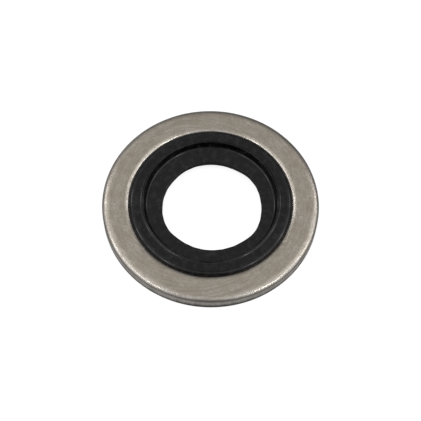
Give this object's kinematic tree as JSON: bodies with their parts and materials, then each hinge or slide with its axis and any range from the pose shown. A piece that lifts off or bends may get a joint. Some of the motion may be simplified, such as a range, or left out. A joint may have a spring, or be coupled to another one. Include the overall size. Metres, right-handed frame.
{
  "type": "bonded sealing washer",
  "caption": "Self-centring sealing washer: a flat steel ring with a rubber seal bonded in its bore, whose lips stand proud of both faces and whose thin web grips the stud.",
  "frame": {"origin": "on the stud's axis, in the plane that the lower sealing lip touches", "axes": "+Z along the stud's axis, towards the face with the rolled edges"},
  "size_m": [0.014, 0.014, 0.0013],
  "materials": {
    "ring_steel": "blanked and tumbled, satin, warm grey",
    "seal_rubber": "moulded black nitrile rubber, semi-gloss"
  },
  "bodies": {
    "root": {"metal_ring": "ring_steel", "rubber_seal": "seal_rubber"}
  },
  "joints": []
}
